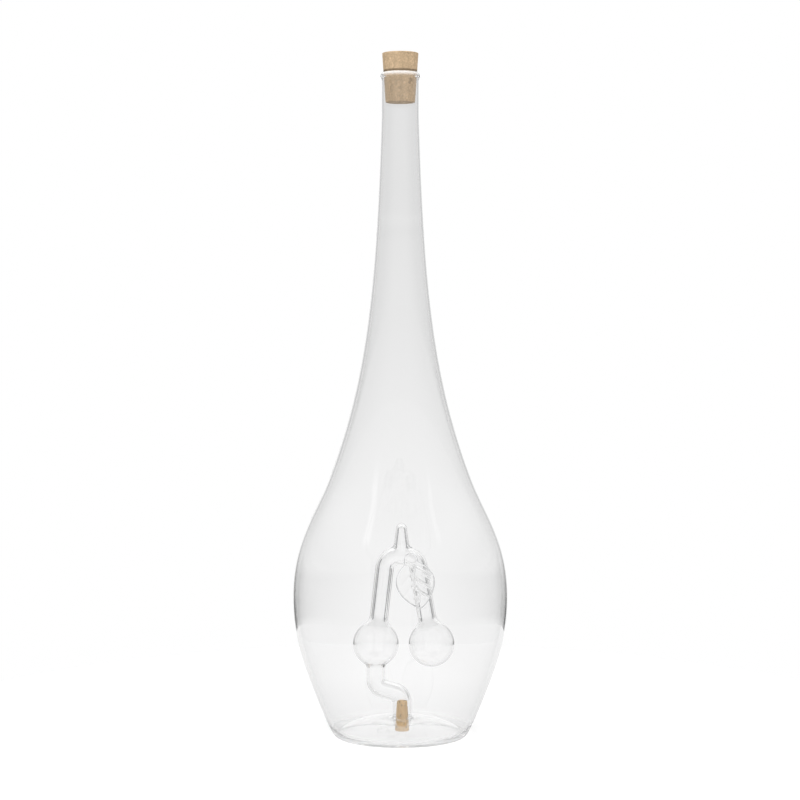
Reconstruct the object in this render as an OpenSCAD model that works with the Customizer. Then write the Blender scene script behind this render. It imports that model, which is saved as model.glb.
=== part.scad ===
// Corked glass bottle with a hollow glass cherry pair inside.
// Two chambers: the belly fills through the mouth, and the cherries fill from below,
// through a bent tube that opens in the pushed-up base. One cork closes each.
// Millimetres, +Z up. Origin: centre of the resting ring, on the table. Front is -Y.

/* [Bottle] */
// Height of the rim above the table
rim_z = 331.5; // [328:0.5:336]
// Greatest radius of the belly
belly_r = 54; // [53:0.5:56]
// Height of the widest ring of the belly
belly_z = 70; // [68:1:74]
// Radius where the shoulder turns from full to hollow
shoulder_r = 35.6; // [34:0.2:37]
// Height of that turn
shoulder_z = 129; // [126:1:134]
// Radius lost for each millimetre of height at that turn
shoulder_slope = 0.38; // [0.34:0.01:0.42]
// Outer radius of the resting ring
foot_r = 32.8; // [32:0.2:34]
// Thickness of the blown wall of the belly
belly_wall = 1; // [0.8:0.1:1.6]
// How far the base is pushed up over the table at its centre
punt_h = 7.2; // [6:0.2:8]

/* [Neck and mouth] */
// Outer radius of the straight end of the neck
neck_r = 9.25; // [9.2:0.05:9.6]
// Bore radius of the mouth, where the large cork seats
mouth_r = 8.35; // [8.2:0.05:8.4]
// Length of the straight end of the neck, below the rim
straight_neck = 21.5; // [18:0.5:24]
// Outer radius of the fire-polished bead
bead_r = 10; // [9.8:0.1:10.4]

/* [Cherries] */
// Outer radius of each cherry
cherry_r = 11.6; // [11:0.1:12]
// Thickness of the cherry wall
cherry_wall = 1; // [0.8:0.1:1.5]
// Height of both cherry centres
cherry_z = 45.9; // [45:0.1:47]
// Distance of the right cherry from the axis
right_x = 15.7; // [15:0.1:16.5]
// Lean of the left stalk towards the axis, degrees
left_lean = 6.6; // [5:0.2:7]
// Lean of the right stalk towards the axis, degrees
right_lean = 9.8; // [8:0.2:11]

/* [Tubes] */
// Outer radius of the stalks and the filling tube
tube_r = 4.7; // [4.6:0.1:4.9]
// Bore radius of the stalks and the filling tube
tube_bore_r = 3.25; // [3.2:0.05:3.35]
// Height of the centre line where the two stalks meet
crown_z = 90; // [88:0.5:92]
// Bend radius of the stalks at the crown
crown_bend = 6.5; // [6:0.1:7]
// Bend radius of the filling tube
fill_bend = 5; // [4.9:0.1:5.2]
// Length of the filling tube's sloping middle run
run_l = 6.25; // [6:0.25:6.5]
// How far right of the axis the filling tube opens in the base
plug_x = 0.9; // [0:0.1:1]
// Height of the top of the drawn-off tip
tip_z = 106.5; // [104:0.1:108]

/* [Leaf] */
// Length of the blade
blade_l = 23.6; // [22:0.2:26]
// Greatest width of the blade
blade_w = 19.4; // [18:0.2:20]
// Thickness of the blade at its margin
blade_t = 1.3; // [1.1:0.1:1.6]
// Height of the veins over the blade
vein_h = 0.55; // [0.3:0.05:0.7]
// Distance between two side veins along the midrib
vein_pitch = 4.1; // [3.6:0.1:5]
// Lean of the midrib, degrees
leaf_lean = 12; // [8:1:16]

/* [Corks] */
// Radius of the large cork at its top
cork_top_r = 9; // [8.9:0.05:9.2]
// Length of the large cork
cork_l = 24.5; // [20:0.5:26]
// How far the large cork stands out of the mouth
cork_proud = 9.4; // [8:0.2:10]
// Radius of the small cork at its outer end
plug_r = 3.5; // [3.4:0.05:3.6]
// Length of the small cork
plug_l = 15; // [13:1:15]
// How far the small cork stands out of the base hole
plug_proud = 5.1; // [5:0.1:5.5]

/* [Hidden] */
$fn = 96;

// Running clearance of each cork at the place where it seats
cork_gap = 0.05;
// Depth below the rim at which the large cork is tightest
seat_depth = 1;
// Radius lost by each cork for every millimetre of its length
cork_taper = (cork_top_r - mouth_r + cork_gap) / (cork_proud + seat_depth);
plug_taper = (plug_r - tube_bore_r + cork_gap) / plug_proud;
// Softened edges of the two corks
cork_edge = 0.4;
plug_edge = 0.4;

// Profile of the bottle: curves of four control points, each a radius and a height
heel_r = 37.3;
heel_z = 7.8;
heel_dir = [cos(66.5), sin(66.5)];
shoulder_dir = [-shoulder_slope, 1] / norm([shoulder_slope, 1]);
neck_wall = neck_r - mouth_r;
straight_z = rim_z - straight_neck;
heel_curve = [[foot_r, 0], [foot_r + 0.9, 0], [heel_r, heel_z] - 4 * heel_dir, [heel_r, heel_z]];
belly_curve = [[heel_r, heel_z], [heel_r, heel_z] + 37.5 * heel_dir,
               [belly_r, belly_z - 14], [belly_r, belly_z]];
shoulder_curve = [[belly_r, belly_z], [belly_r, belly_z + 27.5],
                  [shoulder_r, shoulder_z] - 18 * shoulder_dir, [shoulder_r, shoulder_z]];
neck_curve = [[shoulder_r, shoulder_z], [shoulder_r, shoulder_z] + 53 * shoulder_dir,
              [neck_r + 2.6, straight_z - 86], [neck_r, straight_z]];
// Share of the neck curve below the seam between the blown belly and the drawn neck
seam = 0.76;
// Straight pieces that stand for each curve
steps = 12;

// Push-up of the base
foot_w = 1.6;
punt_wall = 1.3;
punt_curve = [[foot_r - foot_w, 0], [foot_r - 3.3, 2.2], [21, punt_h], [9, punt_h]];
gutter_share = 0.1;
gutter_drop = 6.3;
gutter_rise = 0.8;
collar_fillet = 1.2;
collar_z = punt_h + punt_wall + collar_fillet;

// Bead of the mouth: a ring of round section melted onto the end of the neck
bead_h = 1.7;
bead_z = rim_z - bead_h;
bead_c = bead_r - bead_h;
bead_low = -acos((neck_r - bead_c) / bead_h);
bead_high = 65;
lip_z = bead_z + bead_h * sin(bead_low);

// Cherries, each about its own stalk: a globe that flares into the tube
flare_r = 5;
flare_z = sqrt(pow(cherry_r + flare_r, 2) - pow(tube_r + flare_r, 2));
hollow_r = cherry_r - cherry_wall;
hollow_flare_r = (pow(flare_z, 2) + pow(tube_bore_r, 2) - pow(hollow_r, 2))
    / (2 * (hollow_r - tube_bore_r));

// Filling tube: two equal elbows with a run between them that falls 7 in 24
run_dir = [0.96, -0.28];
fill_low_z = 16.5;
fill_high_z = fill_low_z + 2 * fill_bend * run_dir[0] - run_l * run_dir[1];
left_x = 2 * fill_bend * (1 + run_dir[1]) + run_l * run_dir[0] - plug_x;

// Crown: two elbows and the level stretch between their centres
bend_z = crown_z - crown_bend;
left_rise = bend_z + crown_bend * sin(left_lean) - cherry_z;
right_rise = bend_z + crown_bend * sin(right_lean) - cherry_z;
left_bend_x = fine(left_rise * tan(left_lean) + crown_bend * cos(left_lean) - left_x);
right_bend_x = fine(right_x - right_rise * tan(right_lean) - crown_bend * cos(right_lean));
// Drawn-off tip over the crown
tip_x = (left_bend_x + right_bend_x) / 2;
tip_low_r = 4.2;
tip_high_r = 3.3;
tip_low_z = crown_z + 2;
tip_wall = 1.1;

// Leaf: its midrib starts on a petiole that is melted onto a boss of the crown
leaf_back = tube_r + 0.5;
leaf_base = [5.4, 87.8];
petiole_l = 3.8;
petiole_w = 1.6;
boss_r = 1.7;
boss_s = 2.3;
boss_root = tube_bore_r + 0.6;
rib_w = 0.75;
side_vein_slope = 0.75;
margin_curl = 1.6;
tip_curl = 1.5;
leaf_rows = 38;
leaf_cols = 22;

// How far a cutting solid runs past the face it opens
past = 1;

// Rounded to a thousandth, so that pieces built from both ends meet
function fine(x) = round(x * 1000) / 1000;
// Point and direction on a curve of four control points, for t from 0 to 1
function bez(p, t) =
    pow(1 - t, 3) * p[0] + 3 * pow(1 - t, 2) * t * p[1] + 3 * (1 - t) * t * t * p[2] + t * t * t * p[3];
function bez_dir(p, t) =
    let (d = pow(1 - t, 2) * (p[1] - p[0]) + 2 * (1 - t) * t * (p[2] - p[1]) + t * t * (p[3] - p[2]))
    d / norm(d);
// The same point moved w to the left of the direction of travel
function bez_left(p, t, w) = let (d = bez_dir(p, t)) bez(p, t) + w * [-d[1], d[0]];
// Points of a curve from t = a to t = b, and of its left side with a wall from w0 to w1
function along(p, a = 0, b = 1, n = steps) = [for (i = [0:n]) bez(p, a + (b - a) * i / n)];
function beside(p, w0, w1, a = 0, b = 1, n = steps) =
    [for (i = [0:n]) bez_left(p, a + (b - a) * i / n, w0 + (w1 - w0) * i / n)];
function flip(list) = [for (i = [len(list) - 1:-1:0]) list[i]];
function tail(list) = [for (i = [1:len(list) - 1]) list[i]];
function mix(a, b, t) = a + (b - a) * t;
function arc(c, r, a, b, n) =
    [for (i = [0:n]) let (at = mix(a, b, i / n)) c + r * [cos(at), sin(at)]];

// Glass wall along the neck curve: thick as the belly below, as the mouth above
function neck_out(a, b) = along(neck_curve, a, b);
function neck_in(a, b) =
    beside(neck_curve, mix(belly_wall, neck_wall, a), mix(belly_wall, neck_wall, b), a, b);

module belly_shell() {
    outside = concat(along(belly_curve), tail(along(shoulder_curve)), tail(neck_out(0, seam)));
    inside = concat(beside(belly_curve, belly_wall, belly_wall),
                    tail(beside(shoulder_curve, belly_wall, belly_wall)), tail(neck_in(0, seam)));
    color("#eef3f2", 0.35)
        rotate_extrude() polygon(concat(outside, flip(inside)));
}

module neck_tube() {
    outside = concat(neck_out(seam, 1), [[neck_r, lip_z]]);
    inside = concat(neck_in(seam, 1), [[mouth_r, lip_z]]);
    color("#e9efee", 0.35)
        rotate_extrude() polygon(concat(outside, flip(inside)));
}

module mouth_lip() {
    bead = arc([bead_c, bead_z], bead_h, bead_low, bead_high, 10);
    crest = bead[len(bead) - 1];
    inner_edge = [crest, crest + 0.35 * [-sin(bead_high), cos(bead_high)],
                  [mouth_r, rim_z - 0.3], [mouth_r, rim_z - seat_depth]];
    color("#f4f7f7", 0.5)
        rotate_extrude() polygon(concat([[mouth_r, lip_z]], bead, tail(along(inner_edge, n = 5))));
}

module base_punt() {
    wall_end = bez_left(belly_curve, 0, belly_wall);
    floor_start = bez_left(flip(punt_curve), 1 - gutter_share, punt_wall);
    gutter = [wall_end, wall_end - gutter_drop * heel_dir,
              floor_start - gutter_rise * bez_dir(punt_curve, gutter_share), floor_start];
    punt_top = flip(beside(flip(punt_curve), punt_wall, punt_wall, 0, 1 - gutter_share, 8));
    collar = arc([tube_r + collar_fillet, collar_z], collar_fillet, 270, 180, 6);
    color("#e4ecea", 0.35) difference() {
        union() {
            rotate_extrude() polygon(concat(
                along(heel_curve, n = 8), along(gutter, n = 6), tail(punt_top),
                [[0, punt_h + punt_wall], [0, punt_h]], flip(along(punt_curve, n = 10))));
            translate([plug_x, 0, 0]) rotate_extrude()
                polygon(concat([[0, punt_h + punt_wall]], collar, [[0, collar_z]]));
        }
        rod([plug_x, punt_h - past], [plug_x, collar_z + past], tube_bore_r);
    }
}

// Upright section of a cherry about its stalk, from the lowest point to the flare's end
function globe(r, end_r, bend_r) =
    let (turn = atan2(flare_z, end_r + bend_r))
    concat(arc([0, 0], r, -90, turn, 16),
           tail(arc([end_r + bend_r, flare_z], bend_r, 180 + turn, 180, 6)));

// Globe turned about its stalk, its neck run on past the flare by the given length
module cherry_body(r, end_r, bend_r, run_on) {
    top = flare_z + run_on;
    rotate_extrude() polygon(concat([[0, -r]], tail(globe(r, end_r, bend_r)), [[end_r, top], [0, top]]));
}

// A tube between two places on the plane y = 0
module rod(a, b, r) {
    d = b - a;
    translate([a[0], 0, a[1]]) rotate([0, atan2(d[0], d[1]), 0]) cylinder(r = r, h = norm(d));
}

// A bent tube on the plane y = 0: a ring of tube about the origin, from +X round to the direction d
module elbow(bend, r, d) {
    reach = 4 * bend;
    rotate([90, 0, 0]) intersection() {
        rotate_extrude() translate([bend, 0]) circle(r = r);
        translate([0, 0, -reach]) linear_extrude(2 * reach)
            polygon([[0, 0], [reach, 0], [reach, reach], reach * d]);
    }
}

module at_left() {
    translate([-left_x, 0, cherry_z]) rotate([0, left_lean, 0]) children();
}

module at_right() {
    translate([right_x, 0, cherry_z]) rotate([0, -right_lean, 0]) children();
}

module left_cherry() {
    color("#eef2f1", 0.4) difference() {
        at_left() cherry_body(cherry_r, tube_r, flare_r, 0);
        at_left() cherry_body(hollow_r, tube_bore_r, hollow_flare_r, past);
        rod([-left_x, cherry_z], [-left_x, cherry_z - cherry_r - past], tube_bore_r);
    }
}

module right_cherry() {
    color("#eef2f1", 0.4) difference() {
        at_right() cherry_body(cherry_r, tube_r, flare_r, 0);
        at_right() cherry_body(hollow_r, tube_bore_r, hollow_flare_r, past);
    }
}

// Straight stalk tube between the flare of its cherry and its elbow of the crown
module stalk(reach) {
    length = reach - flare_z;
    translate([0, 0, flare_z]) difference() {
        cylinder(r = tube_r, h = length);
        translate([0, 0, -past]) cylinder(r = tube_bore_r, h = length + 2 * past);
    }
}

module left_stalk() {
    color("#e6ecea", 0.4) at_left() stalk(left_rise / cos(left_lean));
}

module right_stalk() {
    color("#e6ecea", 0.4) at_right() stalk(right_rise / cos(right_lean));
}

// Solid of the crown's tubes for one radius; the ends run on straight by the given length
module crown_tubes(r, run_on) {
    translate([left_bend_x, 0, bend_z]) rotate([0, -90, 0])
        elbow(crown_bend, r, [sin(left_lean), cos(left_lean)]);
    translate([right_bend_x, 0, bend_z]) mirror([1, 0, 0]) rotate([0, -90, 0])
        elbow(crown_bend, r, [sin(right_lean), cos(right_lean)]);
    rod([left_bend_x, crown_z], [right_bend_x, crown_z], r);
    if (run_on > 0) {
        at_left() translate([0, 0, left_rise / cos(left_lean) - run_on]) cylinder(r = r, h = run_on);
        at_right() translate([0, 0, right_rise / cos(right_lean) - run_on]) cylinder(r = r, h = run_on);
    }
}

// Solid of the drawn-off tip, shrunk by a wall
module tip(w) {
    dome = arc([0, tip_z - tip_high_r], tip_high_r - w, 8, 82, 7);
    rotate_extrude() polygon(concat([[0, crown_z], [tip_low_r - w, crown_z], [tip_low_r - w, tip_low_z]],
                                    dome, [[0, tip_z - w]]));
}

module stalk_crown() {
    color("#e6ecea", 0.4) difference() {
        union() {
            crown_tubes(tube_r, 0);
            translate([tip_x, 0, 0]) tip(0);
            leaf_place() translate([0, -boss_root, boss_s]) rotate([90, 0, 0])
                cylinder(r = boss_r, h = leaf_back - boss_root);
        }
        crown_tubes(tube_bore_r, past);
        translate([tip_x, 0, 0]) tip(tip_wall);
    }
}

// Solid of the filling tube for one radius. Where two pieces meet on a slant, a thinner core
// ties them together.
module filling_tube_solid(r, run_on) {
    low = [plug_x - fill_bend, fill_low_z];
    high = [fill_bend - left_x, fill_high_z];
    across = fill_bend * [-run_dir[1], run_dir[0]];
    rod([plug_x, collar_z - run_on], [plug_x, fill_low_z], r);
    translate([low[0], 0, low[1]]) elbow(fill_bend, r, [-run_dir[1], run_dir[0]]);
    rod(low + across, high - across, r);
    translate([high[0], 0, high[1]]) rotate([0, 180, 0]) elbow(fill_bend, r, [-run_dir[1], run_dir[0]]);
    rod([-left_x, fill_high_z], [-left_x, cherry_z - 0.7 * cherry_r], r);
    for (end = [low + across, high - across])
        rod(end + 0.2 * run_dir, end - 0.2 * run_dir, 0.97 * r);
}

module filling_tube() {
    color("#e6ecea", 0.4) difference() {
        filling_tube_solid(tube_r, 0);
        filling_tube_solid(tube_bore_r, past);
        at_left() cherry_body(cherry_r, tube_r, flare_r, 0);
    }
}

module leaf_place() {
    translate([leaf_base[0], 0, leaf_base[1]]) rotate([0, -leaf_lean, 0]) children();
}

// Half width of the leaf at the distance s from its base: a petiole that runs into an ovate blade
function leaf_half(s) =
    let (f = max(0, s) / blade_l,
         blade = blade_w / 2 * pow(sin(180 * pow(f, 0.82)), 0.72),
         stem = petiole_w * (1 - 0.85 * f))
    pow(pow(max(blade, 0), 4) + pow(stem, 4), 1 / 4);

// Height of the veins over the front of the blade
function vein(s, x, half) =
    let (f = max(0, s) / blade_l,
         mid = exp(-pow(x / rib_w, 2)) * (1 - 0.6 * f),
         side = pow(abs(cos(180 * (s - side_vein_slope * abs(x)) / vein_pitch)), 5),
         fade = (1 - pow(x / half, 4)) * min(1, abs(x) / (2 * rib_w)) * min(1, f * 6))
    vein_h * max(mid, side * fade);

// Point of the leaf, v from -1 to 1 across it, on its back (face 0) or its front (face 1)
function leaf_point(s, v, face) =
    let (half = leaf_half(s),
         f = max(0, s) / blade_l,
         x = v * half,
         thick = blade_t * (0.4 + 0.6 * (1 - pow(v, 4))),
         bend = margin_curl * pow(x / (blade_w / 2), 2) + tip_curl * f * f + 0.5 * min(1, f * 5),
         front = leaf_back + bend + thick + vein(s, x, half))
    [x, -(face == 0 ? leaf_back + bend : front), -s];

module leaf() {
    n = leaf_cols + 1;
    sheet = (leaf_rows + 1) * n;
    points = [for (face = [0, 1]) for (i = [0:leaf_rows]) for (j = [0:leaf_cols])
        leaf_point(mix(-petiole_l, blade_l, i / leaf_rows), mix(-1, 1, j / leaf_cols), face)];
    back = [for (i = [0:leaf_rows - 1]) for (j = [0:leaf_cols - 1]) let (k = i * n + j)
        each [[k, k + n, k + 1], [k + 1, k + n, k + n + 1]]];
    front = [for (t = back) [t[0] + sheet, t[2] + sheet, t[1] + sheet]];
    rim = concat([for (j = [0:leaf_cols - 1]) [j, j + 1]],
                 [for (i = [0:leaf_rows - 1]) [i * n + leaf_cols, (i + 1) * n + leaf_cols]],
                 [for (j = [leaf_cols - 1:-1:0]) [leaf_rows * n + j + 1, leaf_rows * n + j]],
                 [for (i = [leaf_rows - 1:-1:0]) [(i + 1) * n, i * n]]);
    side = [for (e = rim) each [[e[0], e[1], e[1] + sheet], [e[0], e[1] + sheet, e[0] + sheet]]];
    color("#dfe8e5", 0.5) leaf_place() polyhedron(points, concat(back, front, side));
}

// A tapered cork that stands on its wide end, its edges softened
module cork(wide_r, length, taper, edge) {
    narrow_r = wide_r - taper * length;
    rotate_extrude() polygon(concat([[0, 0]],
        arc([wide_r - edge, edge], edge, -90, 0, 5),
        arc([narrow_r - edge, length - edge], edge, 0, 90, 5),
        [[0, length]]));
}

module top_cork() {
    color("#c9a983") translate([0, 0, rim_z + cork_proud]) mirror([0, 0, 1])
        cork(cork_top_r, cork_l, cork_taper, cork_edge);
}

module base_cork() {
    color("#bd9770") translate([plug_x, 0, punt_h - plug_proud])
        cork(plug_r, plug_l, plug_taper, plug_edge);
}

belly_shell();
neck_tube();
mouth_lip();
base_punt();
filling_tube();
left_cherry();
left_stalk();
stalk_crown();
right_stalk();
right_cherry();
leaf();
top_cork();
base_cork();
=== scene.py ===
"""A bottle with two chambers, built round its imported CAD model.

The teardrop flask holds one liquid. The hollow cherry pair inside it holds another, filled from
below through a bent tube that opens in the pushed-up base. Each chamber is closed by a cork.
Lengths in the frame are metres. Profiles and fields are written in millimetres and scaled once.
"""

import math
from functools import partial

import bpy
import numpy as np
from bpy.props import FloatProperty, FloatVectorProperty, IntProperty, PointerProperty
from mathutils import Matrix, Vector, noise


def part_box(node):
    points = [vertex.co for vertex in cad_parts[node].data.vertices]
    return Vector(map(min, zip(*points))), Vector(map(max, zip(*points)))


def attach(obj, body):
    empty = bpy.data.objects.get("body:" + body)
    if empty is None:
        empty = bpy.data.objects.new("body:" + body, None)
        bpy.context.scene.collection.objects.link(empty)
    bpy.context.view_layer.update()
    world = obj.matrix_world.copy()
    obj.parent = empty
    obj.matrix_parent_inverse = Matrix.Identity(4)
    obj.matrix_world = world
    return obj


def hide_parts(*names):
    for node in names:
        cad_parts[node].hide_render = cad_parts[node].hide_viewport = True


bl_info = {
    "name": "Cherry Flask",
    "version": (1, 0, 0),
    "blender": (4, 5, 0),
    "location": "3D View > Sidebar > Flask",
    "description": "Builds a glass bottle with a cherry pair inside, its corks and a studio",
    "category": "Object",
}

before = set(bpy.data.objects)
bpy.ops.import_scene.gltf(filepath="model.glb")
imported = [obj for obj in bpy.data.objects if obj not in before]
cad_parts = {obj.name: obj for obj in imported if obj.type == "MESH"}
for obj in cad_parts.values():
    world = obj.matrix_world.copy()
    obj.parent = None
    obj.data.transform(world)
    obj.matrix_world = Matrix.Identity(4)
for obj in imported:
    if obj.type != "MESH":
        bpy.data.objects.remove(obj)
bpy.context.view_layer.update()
MM = 0.001

RIM_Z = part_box("mouth_lip")[1].z / MM
BEAD_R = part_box("mouth_lip")[1].x / MM
BELLY_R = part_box("belly_shell")[1].x / MM
CHERRY_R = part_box("left_cherry")[1].y / MM
PLUG_X = sum(corner.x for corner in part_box("base_cork")) / 2 / MM
# Where the leaf leaves the crown: across and up
LEAF_BASE = (5.4, 87.8)
# The cherry chamber is meshed in this space, which starts at the top of the base's collar
CHAMBER_SPACE = ((-26, -13, 9.9), (29, 13, 108))
# A faint ring seam where the drawn neck was joined on: height, how far it swells, half its width
SEAM_Z, SEAM_SWELL, SEAM_HALF = 254.5, 0.22, 1.5
# A hair's breadth between foot and table, so that the two faces don't share a plane
FOOT_GAP = 0.03


# ---- sizes and colours


def linear(code):
    """Linear colour of an sRGB hex code."""
    parts = [int(code[i:i + 2], 16) / 255 for i in (1, 3, 5)]
    return (*(p / 12.92 if p <= 0.04045 else ((p + 0.055) / 1.055) ** 2.4 for p in parts), 1.0)


WHITE = linear("#FFFFFF")


class FlaskBottle(bpy.types.PropertyGroup):
    """The teardrop flask with its neck, lip and pushed-up base."""

    rim_height: FloatProperty(
        name="Rim height", description="Height of the rim above the table",
        default=RIM_Z * MM, unit="LENGTH")
    belly_radius: FloatProperty(
        name="Belly radius", description="Greatest outer radius of the belly",
        default=BELLY_R * MM, unit="LENGTH")
    wall: FloatProperty(
        name="Wall", description="Thickness of the blown wall of the belly",
        default=1.1 * MM, unit="LENGTH")
    bore_radius: FloatProperty(
        name="Mouth bore", description="Bore radius of the straight end of the neck",
        default=8.35 * MM, unit="LENGTH")
    segments: IntProperty(
        name="Segments", description="Faces round the bottle", default=160, min=48, max=256)


class FlaskCherries(bpy.types.PropertyGroup):
    """The lampworked chamber: filling tube, two cherries, stalks, crown and tip."""

    cherry_radius: FloatProperty(
        name="Cherry radius", description="Outer radius of each cherry",
        default=CHERRY_R * MM, unit="LENGTH")
    cherry_wall: FloatProperty(
        name="Cherry wall", description="Thickness of the blown wall of each cherry",
        default=0.75 * MM, unit="LENGTH")
    tube_radius: FloatProperty(
        name="Tube radius", description="Outer radius of the drawn tube",
        default=4.7 * MM, unit="LENGTH")
    tube_bore: FloatProperty(
        name="Tube bore", description="Bore radius of the filling tube",
        default=3.25 * MM, unit="LENGTH")
    stalk_bore: FloatProperty(
        name="Stalk bore", description="Bore radius of the stalks, thickened by the flame",
        default=3.05 * MM, unit="LENGTH")
    grain: FloatProperty(
        name="Mesh step", description="Distance between the points of the chamber's skin",
        default=0.5 * MM, unit="LENGTH")


class FlaskLeaf(bpy.types.PropertyGroup):
    """The pressed glass leaf on the crown."""

    length: FloatProperty(
        name="Length", description="Length of the blade", default=23.6 * MM, unit="LENGTH")
    width: FloatProperty(
        name="Width", description="Greatest width of the blade", default=19.4 * MM, unit="LENGTH")
    thickness: FloatProperty(
        name="Thickness", description="Thickness of the blade at its middle",
        default=1.9 * MM, unit="LENGTH")
    petiole: FloatProperty(
        name="Petiole", description="Width of the blade's upper end, melted onto the crown",
        default=6.8 * MM, unit="LENGTH")
    vein_depth: FloatProperty(
        name="Vein depth", description="Depth of the veins pressed into the back of the blade",
        default=0.9 * MM, unit="LENGTH")
    vein_width: FloatProperty(
        name="Vein width", description="Width of the veins pressed into the back of the blade",
        default=1.6 * MM, unit="LENGTH")


class FlaskCorks(bpy.types.PropertyGroup):
    """The two corks."""

    tan: FloatVectorProperty(
        name="Large cork", description="Main colour of the large cork", subtype="COLOR",
        default=linear("#D1B694")[:3], size=3, min=0, max=1)
    amber: FloatVectorProperty(
        name="Small cork", description="Main colour of the small cork", subtype="COLOR",
        default=linear("#D7B584")[:3], size=3, min=0, max=1)
    granule: FloatProperty(
        name="Granule", description="Size of the pressed granules of the large cork",
        default=1.3 * MM, unit="LENGTH")
    pit_depth: FloatProperty(
        name="Pit depth", description="Depth of the deepest pores",
        default=0.3 * MM, unit="LENGTH")
    grain: FloatProperty(
        name="Mesh step", description="Distance between the points of the corks' surfaces",
        default=0.25 * MM, unit="LENGTH")


class FlaskStudio(bpy.types.PropertyGroup):
    """Table, lamps, surroundings and camera."""

    table_radius: FloatProperty(
        name="Table radius", description="Radius of the white table top",
        default=0.27, unit="LENGTH")
    room: FloatProperty(
        name="Room", description="Brightness of the room that the glass mirrors",
        default=0.9, min=0, max=1, subtype="FACTOR")
    windows: FloatProperty(
        name="Windows", description="Brightness of the two windows that the belly mirrors",
        default=0.8, min=0, max=5)


# ---- curves and meshes


def bezier(points, steps, start=0.0, end=1.0):
    """Points of a curve of four control points, and the unit normals on its left."""
    p = np.array(points, float)
    t = np.linspace(start, end, steps + 1)[:, None]
    place = ((1 - t) ** 3 * p[0] + 3 * (1 - t) ** 2 * t * p[1]
             + 3 * (1 - t) * t * t * p[2] + t ** 3 * p[3])
    way = (1 - t) ** 2 * (p[1] - p[0]) + 2 * (1 - t) * t * (p[2] - p[1]) + t * t * (p[3] - p[2])
    way /= np.linalg.norm(way, axis=1, keepdims=True)
    return place, np.stack([-way[:, 1], way[:, 0]], 1)


def arc(centre, radius, start, end, steps):
    """Points of a circular arc between two angles in degrees."""
    turn = np.radians(np.linspace(start, end, steps + 1))
    return np.array(centre) + radius * np.stack([np.cos(turn), np.sin(turn)], 1)


def ease(low, high, x):
    """0 below low, 1 above high, smooth between."""
    t = np.clip((x - low) / (high - low), 0, 1)
    return t * t * (3 - 2 * t)


def strip(count, width):
    """Quads between successive closed rings of points."""
    ring = np.arange(count - 1)[:, None] * width
    here = np.arange(width)[None, :]
    there = (here + 1) % width
    quads = np.stack([ring + here, ring + there, ring + width + there, ring + width + here], -1)
    return quads.reshape(-1, 4)


def closed_strip(count, width):
    """Faces of a strip that a point closes at each end; the two points come last."""
    low, high, end = count * width, count * width + 1, (count - 1) * width
    faces = [tuple(quad) for quad in strip(count, width)]
    faces += [(low, (i + 1) % width, i) for i in range(width)]
    faces += [(high, end + i, end + (i + 1) % width) for i in range(width)]
    return faces


def revolve(radius, height, turn, centre=0.0):
    """Points, or directions, of rings at the given angles round an upright axis."""
    radius = radius[:, None]
    return np.stack([centre + radius * np.cos(turn), radius * np.sin(turn),
                     np.repeat(height[:, None], len(turn), 1)], -1).reshape(-1, 3)


def zip_rings(a, b, angle_a, angle_b):
    """Triangles between two rings of points that go round by rising angle."""
    faces, i, j = [], 0, 0
    while i < len(a) or j < len(b):
        next_a = angle_a[i + 1] if i + 1 < len(a) else angle_a[0] + 2 * math.pi
        next_b = angle_b[j + 1] if j + 1 < len(b) else angle_b[0] + 2 * math.pi
        if j >= len(b) or (i < len(a) and next_a <= next_b):
            faces.append((a[i], a[(i + 1) % len(a)], b[j % len(b)]))
            i += 1
        else:
            faces.append((a[i % len(a)], b[(j + 1) % len(b)], b[j]))
            j += 1
    return faces


def new_piece(name, points, faces, materials, which=None):
    """A smooth-shaded mesh object in the scene, from points in millimetres."""
    mesh = bpy.data.meshes.new(name)
    mesh.from_pydata((np.asarray(points) * MM).tolist(), [], [list(map(int, f)) for f in faces])
    for material in materials:
        mesh.materials.append(material)
    if which is not None:
        mesh.polygons.foreach_set("material_index", np.asarray(which, np.int32))
    mesh.validate()
    mesh.shade_smooth()
    piece = bpy.data.objects.new(name, mesh)
    bpy.context.scene.collection.objects.link(piece)
    return piece


# ---- the bottle


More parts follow.
